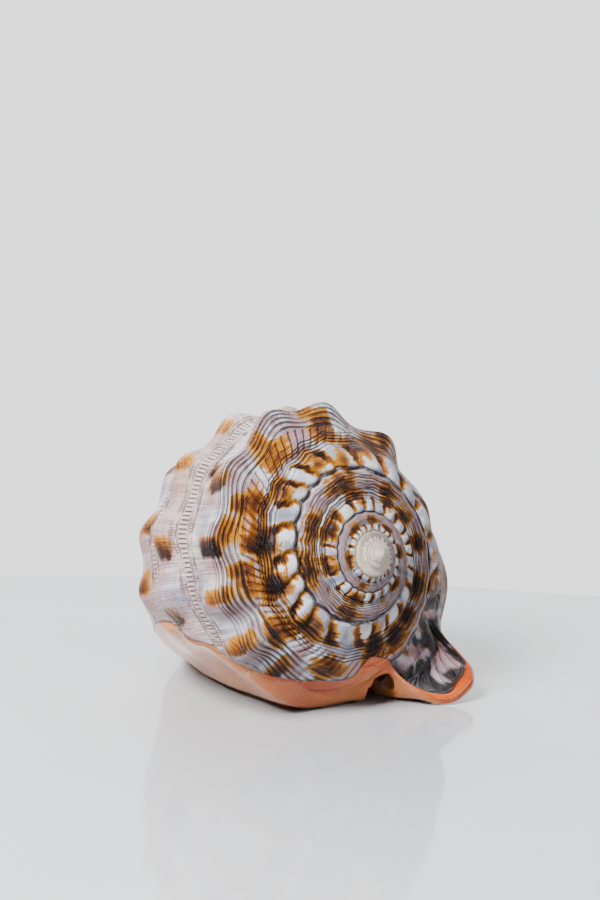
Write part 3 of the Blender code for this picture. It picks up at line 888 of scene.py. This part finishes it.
# Brown bars between the nodules, amber by the suture, darker and blotchy outwards
reach_out = across * on_spire * SPIRE_REACH + spread * on_whorl
lean = wound + spread * on_whorl * NODULE_LEAN + (wisps - 0.5) * 9.0
slow = (lean * (2.0 * math.pi / SLOW_PERIOD) + SLOW_START).math("SINE") * SLOW_SPURT
quick = (lean * (2.0 * math.pi / QUICK_PERIOD) + QUICK_START).math("SINE") * QUICK_SPURT
nodule = lean / NODULE_SPACING + NODULE_START + slow + quick
bar_edge = reach_out * 0.022 + 0.22
bars = nodule.grooves(1.0, bar_edge - 0.26, bar_edge + 0.34) * reach_out.between(-0.5, 9.5, 2.5)
bar_darkness = reach_out.ease(0.0, 8.0) * 0.6 + 0.35

# Dark spiral threads, and painted shadow along the sutures
young = wound.ease(-1050.0, -800.0)
thread_place = past + (soft_grain - 0.5) * 0.4
threads = thread_place.grooves(THREAD_SPACING, 0.22, 0.60) * thread_place.between(-6.5, 3.0, 0.8)
threads = threads * out.ease(8.0, 9.5)
inner_threads = out.grooves(1.0, 0.25, 0.65) * out.between(6.6, 13.0, 0.8) * on_top
spire_threads = across.grooves(0.075, 0.25, 0.65) * across.between(0.33, 0.72, 0.06) * on_spire
ridge_threads = across.grooves(0.085, 0.2, 0.55) * across.between(0.68, 0.98, 0.05) * on_spire * 0.5
cord_strength = past.ease(52.0, 70.0) * 0.35 + past.ease(4.0, 8.0) * 0.12
cords = past.grooves(DARK_CORD_SPACING, 0.15, 0.6) * cord_strength
stripes = threads.most(inner_threads).most(cords)
stripes = stripes.most(spire_threads * young).most(ridge_threads * young)
joint = growth_value(tree, "whorls").ease(-0.03, 0.0) * turn.between(0.0, 1.0, 0.012).flipped()
thread_wear = (cloud(tree, position, 110.0, 1.0) * 2.2 - 0.3).least(1.0).most(0.0)
lines = stripes * thread_wear * joint.flipped()
# Painted shadow: a dark brown line along each suture, where the ridge of the whorl before hangs over it
suture_shadow_start = index * 0.012 + 0.972
painted_suture_shadow = across.ease(suture_shadow_start, suture_shadow_start + 0.03) * on_spire * wound.ease(-2000.0, -1700.0)
painted_suture_shadow = painted_suture_shadow.most(across.ease(0.0, 0.035).flipped() * on_spire * young)
painted_suture_shadow = painted_suture_shadow.most(out.between(-0.5, 0.9, 0.5) * on_top * on_whorl)

# Blotches where the lip paused, gathered by the noise
darkness = growth_value(tree, "darkness")
mauve = growth_value(tree, "mauve")
side_zone = past.ease(3.0, 10.0) * 0.08 + past.ease(20.0, 45.0) * 0.12
spiral_zone = across.ease(0.30, 0.45) * on_spire + out.between(5.0, 19.0, 3.0) * on_top * on_whorl
potential = mottle + stain.most(bars) * 1.05 + spiral_zone * 0.19 + side_zone - 0.38
pigment = potential.ease(0.0, on_side * 0.40 + 0.20) * young
depth_of_stain = (darkness * stain).most(bars * bar_darkness).most(spiral_zone * 0.58)
dark_share = potential * (depth_of_stain * depth_of_stain + 0.24) * (stripes * 0.50 + 0.72)
dark_share = dark_share + (hatch - 0.5) * 0.2 + (darkness - 0.45) * stain * on_side * 0.35
dots = cloud(tree, point_of(along * 2.2, spread * 0.9, 11.0), 1.0, 1.0).ease(0.62, 0.72)
dots = dots * young.flipped() * 0.5

# A rope of cross beads between double rows of tiny ones
beads = growth_value(tree, "beads")
in_band = beads.ease(3.5, 4.0).flipped()
in_rope = beads.ease(1.3, 1.6).flipped()
worn = cloud(tree, position, 260.0, 1.0).ease(0.35, 0.60)
slots = wound.grooves(BEAD_SPACING, 0.12, 0.50) * beads.ease(0.9, 1.4).flipped()
tiny_gaps = wound.grooves(TINY_BEAD_SPACING, 0.15, 0.60) * in_band * in_rope.flipped() * worn * 0.7
rope_lines = (beads - BEAD_LINE_START).grooves(1.0, 0.15, 0.6) * beads.between(1.3, 4.1, 0.3)
rope_lines = rope_lines * (worn * 0.6 + 0.2)
bead_lines = slots.most(tiny_gaps).most(rope_lines)
rib_zone = past.between(-12.0, -5.6, 0.8) * out.ease(9.0, 10.0)
rib_gaps = (wound - past * RIB_LEAN).grooves(RIB_SPACING, 0.10, 0.50) * rib_zone

# Base lime colour
tint = cloud(tree, point_of(along * 0.8, spread * 0.10, 5.0), 1.0, 2.0)
lime = blended(tint.ease(0.42, 0.60), LIME_WHITE, LIME_LILAC)
lime = blended(patches.ease(0.46, 0.62) * 0.6, lime, LIME_WARM)
pinkish = across.between(0.55, 1.02, 0.12) * on_spire * 0.8
shadowy = thread_place.between(-14.0, 4.5, 3.0) * out.ease(8.0, 9.5) * 0.8
lime = blended(pinkish.most(mauve).most(shadowy * tint.ease(0.40, 0.55)), lime, PINK_MAUVE)
cream = wound.ease(-1020.0, -760.0).flipped()
lime = blended(cream * 0.9, lime, TIP_CREAM)
axial = cloud(tree, point_of(wound * 0.55, spread * 0.035, 9.0), 1.0, 3.0, 0.6)
lime = blended(axial.ease(0.46, 0.62) * past.ease(1.0, 6.0) * 0.65, lime, GROWTH_SHADE)
lime = blended(axial.ease(0.46, 0.34) * past.ease(1.0, 6.0) * 0.5, lime, GROWTH_CREAM)
rosy = cloud(tree, position, 34.0, 3.0).ease(0.44, 0.58) * past.ease(2.0, 24.0)
lime = blended(rosy * 0.6, lime, ROSE)
lime = blended(growth.ease(0.30, 0.70).flipped() * 0.45, lime, GROWTH_LINE)

# Brown pigment over the lime
coloured = blended(pigment, lime, stained(dark_share, BROWN_STAIN))
coloured = blended(dots.ease(0.0, 0.4), coloured, TIP_DOTS)
coloured = blended(rib_gaps * (tint.ease(0.40, 0.60) * 0.5 + 0.35), coloured, RIB_GAP)
coloured = blended(lines * 0.85, coloured, DARK_THREAD)
coloured = blended(in_band * 0.45, coloured, BAND_PINK)
coloured = blended(bead_lines * 0.8, coloured, BEAD_GAP)
# The painted shadow along the sutures goes over the colour
coloured = blended(painted_suture_shadow * (young * 0.45 + 0.45), coloured, PAINTED_SUTURE_SHADOW)

# Black and pink blotches in the trough behind the rim
near_lip = turn.between(0.79, 0.962, 0.05)
trough = near_lip * on_whorl * on_top * out.ease(-1.0, 2.0)
trough_blots = cloud(tree, point_of(wound * 0.16, out * 0.10, 6.0), 1.0, 2.0).ease(0.36, 0.50)
coloured = blended(trough * trough_blots * 0.95, coloured, TROUGH_BLACK)
coloured = blended(trough * trough_blots.flipped() * 0.6, coloured, TROUGH_PINK)

# Orange glaze of rim and shield
glaze_noise = cloud(tree, position, 45.0, 3.0)
orange = blended(glaze_noise.ease(0.40, 0.62), RIM_ORANGE, RIM_LIGHTER)
orange = blended(past.ease(2.0, 9.0) * 0.85, orange, SHIELD_PEACH)
orange = blended(growth.ease(0.50, 0.75) * 0.25, orange, GLAZE_PALE)
glaze_edge = glaze + (soft_grain - 0.5) * 0.8
peach = glaze_edge.ease(2.5, 8.0) * (glaze_noise.ease(0.35, 0.60) * 0.5 + 0.3)
orange = blended(peach, orange, GLAZE_PEACH)
fold = glaze_edge.between(2.5, 3.3, 0.35) * cloud(tree, position, 90.0, 2.0).ease(0.42, 0.55)
orange = blended(fold * 0.7, orange, FOLD_BROWN)
cream_patch = cloud(tree, position, 28.0, 1.0).ease(0.50, 0.58) * glaze_edge.ease(3.0, 6.0)
orange = blended(cream_patch * past.ease(4.0, 9.0) * 0.55, orange, GLAZE_CREAM)
glazed = glaze_edge.ease(-0.3, 0.3)
coloured = blended(glazed, coloured, orange)
crease = glaze_edge.between(-0.9, 0.15, 0.4)
coloured = blended(crease * 0.6, coloured, GLAZE_EDGE_BROWN)
coloured = blended(mouth.ease(0.1, 0.8), coloured, MOUTH_BROWN)
tree.links.new(coloured, shader.inputs["Base Color"])

# Gloss and fine relief
roughness = grain * 0.10 + growth * 0.12 + 0.20 - glazed * 0.08
plug(roughness, shader.inputs["Roughness"])
shader.inputs["Specular IOR Level"].default_value = 0.16
plug(glazed * 0.45 + 0.02, shader.inputs["Coat Weight"])
shader.inputs["Coat Roughness"].default_value = 0.12
raised = growth * (past.ease(0.0, 4.0) * 0.5 + 0.6) + grain * 0.10 + hatch * 0.3
fine = raised - stripes * 0.8 - painted_suture_shadow * 0.8 - bead_lines - rib_gaps * 0.8
fine = fine * (glazed.flipped() * 0.85 + 0.15)
relief = tree.nodes.new("ShaderNodeBump")
relief.inputs["Distance"].default_value = 0.001
relief.inputs["Strength"].default_value = 0.9
plug(fine, relief.inputs["Height"])
tree.links.new(relief.outputs["Normal"], shader.inputs["Normal"])
shell.data.materials.append(material)

# Table and light
# The shell lies on a round table with a glossy white top and an eased edge, which is seen to its
# far side. The room is pale, and soft boxes light the shell from the left, the front and behind.
TABLE_RADIUS = 0.60
TABLE_THICKNESS = 0.02
TABLE_EDGE = 0.002
TABLE_GAP = 0.0002
TABLE_CENTRE = Vector((-0.32, -0.29, 0.0))
TABLE_GREY, TABLE_LIGHTER = "#A2A4A8", "#ACAEB2"
WALL_GREY = "#DEDEDF"
WALL_BRIGHTNESS = 2.7
ROOM_LIGHT = 0.32
SHELL_MIDDLE = (0.0, 0.0, 0.05)

form = bmesh.new()
bmesh.ops.create_cone(form, cap_ends=True, segments=256, radius1=TABLE_RADIUS, radius2=TABLE_RADIUS,
                      depth=TABLE_THICKNESS)
level_edges = [edge for edge in form.edges if abs(edge.verts[0].co.z - edge.verts[1].co.z) < 1e-6]
bmesh.ops.bevel(form, geom=level_edges, offset=TABLE_EDGE, segments=2, profile=0.5, affect="EDGES",
                material=-1)
drop = Vector((0.0, 0.0, -TABLE_THICKNESS / 2.0 - TABLE_GAP))
bmesh.ops.translate(form, verts=form.verts, vec=TABLE_CENTRE + drop)
table_mesh = bpy.data.meshes.new("table")
form.to_mesh(table_mesh)
form.free()
table = bpy.data.objects.new("table", table_mesh)
bpy.context.scene.collection.objects.link(table)
table_material = bpy.data.materials.new("glossy_white_table")
table_material.use_nodes = True
table_tree = table_material.node_tree
table_shader = table_tree.nodes["Principled BSDF"]
table_place = table_tree.nodes.new("ShaderNodeTexCoord").outputs["Object"]
smears = cloud(table_tree, table_place, 12.0, 3.0)
table_tree.links.new(blended(smears, TABLE_GREY, TABLE_LIGHTER), table_shader.inputs["Base Color"])
plug(smears * 0.06 + 0.05, table_shader.inputs["Roughness"])
table_shader.inputs["Specular IOR Level"].default_value = 0.8
table_mesh.materials.append(table_material)


def soft_box(name, place, target, size, power):
    """A square area light that faces its target."""
    data = bpy.data.lights.new(name, "AREA")
    data.shape = "SQUARE"
    data.size = size
    data.energy = power
    lamp = bpy.data.objects.new(name, data)
    lamp.location = place
    lamp.rotation_euler = (Vector(target) - Vector(place)).to_track_quat("-Z", "Y").to_euler()
    bpy.context.scene.collection.objects.link(lamp)


soft_box("key_light", (-0.70, -0.20, 0.75), SHELL_MIDDLE, 0.4, 46.0)
soft_box("fill_light", (0.55, -0.85, 0.60), SHELL_MIDDLE, 0.6, 5.0)
soft_box("back_light", (0.35, 0.75, 0.75), SHELL_MIDDLE, 0.6, 14.0)

world = bpy.data.worlds.new("pale_room")
world.use_nodes = True
room = world.node_tree.nodes["Background"]
room.inputs["Color"].default_value = colour(WALL_GREY)
room_tree = world.node_tree
seen = Field(room_tree, room_tree.nodes.new("ShaderNodeLightPath").outputs["Is Camera Ray"])
facing = room_tree.nodes.new("ShaderNodeVectorMath")
facing.operation = "DOT_PRODUCT"
facing.inputs[1].default_value = (math.sin(CAMERA_YAW), math.cos(CAMERA_YAW), 0.0)
direction = room_tree.nodes.new("ShaderNodeTexCoord").outputs["Generated"]
room_tree.links.new(direction, facing.inputs[0])
behind = Field(room_tree, facing.outputs["Value"]).ease(0.1, 0.7)
plug(seen.most(behind) * (WALL_BRIGHTNESS - ROOM_LIGHT) + ROOM_LIGHT, room.inputs["Strength"])
bpy.context.scene.world = world
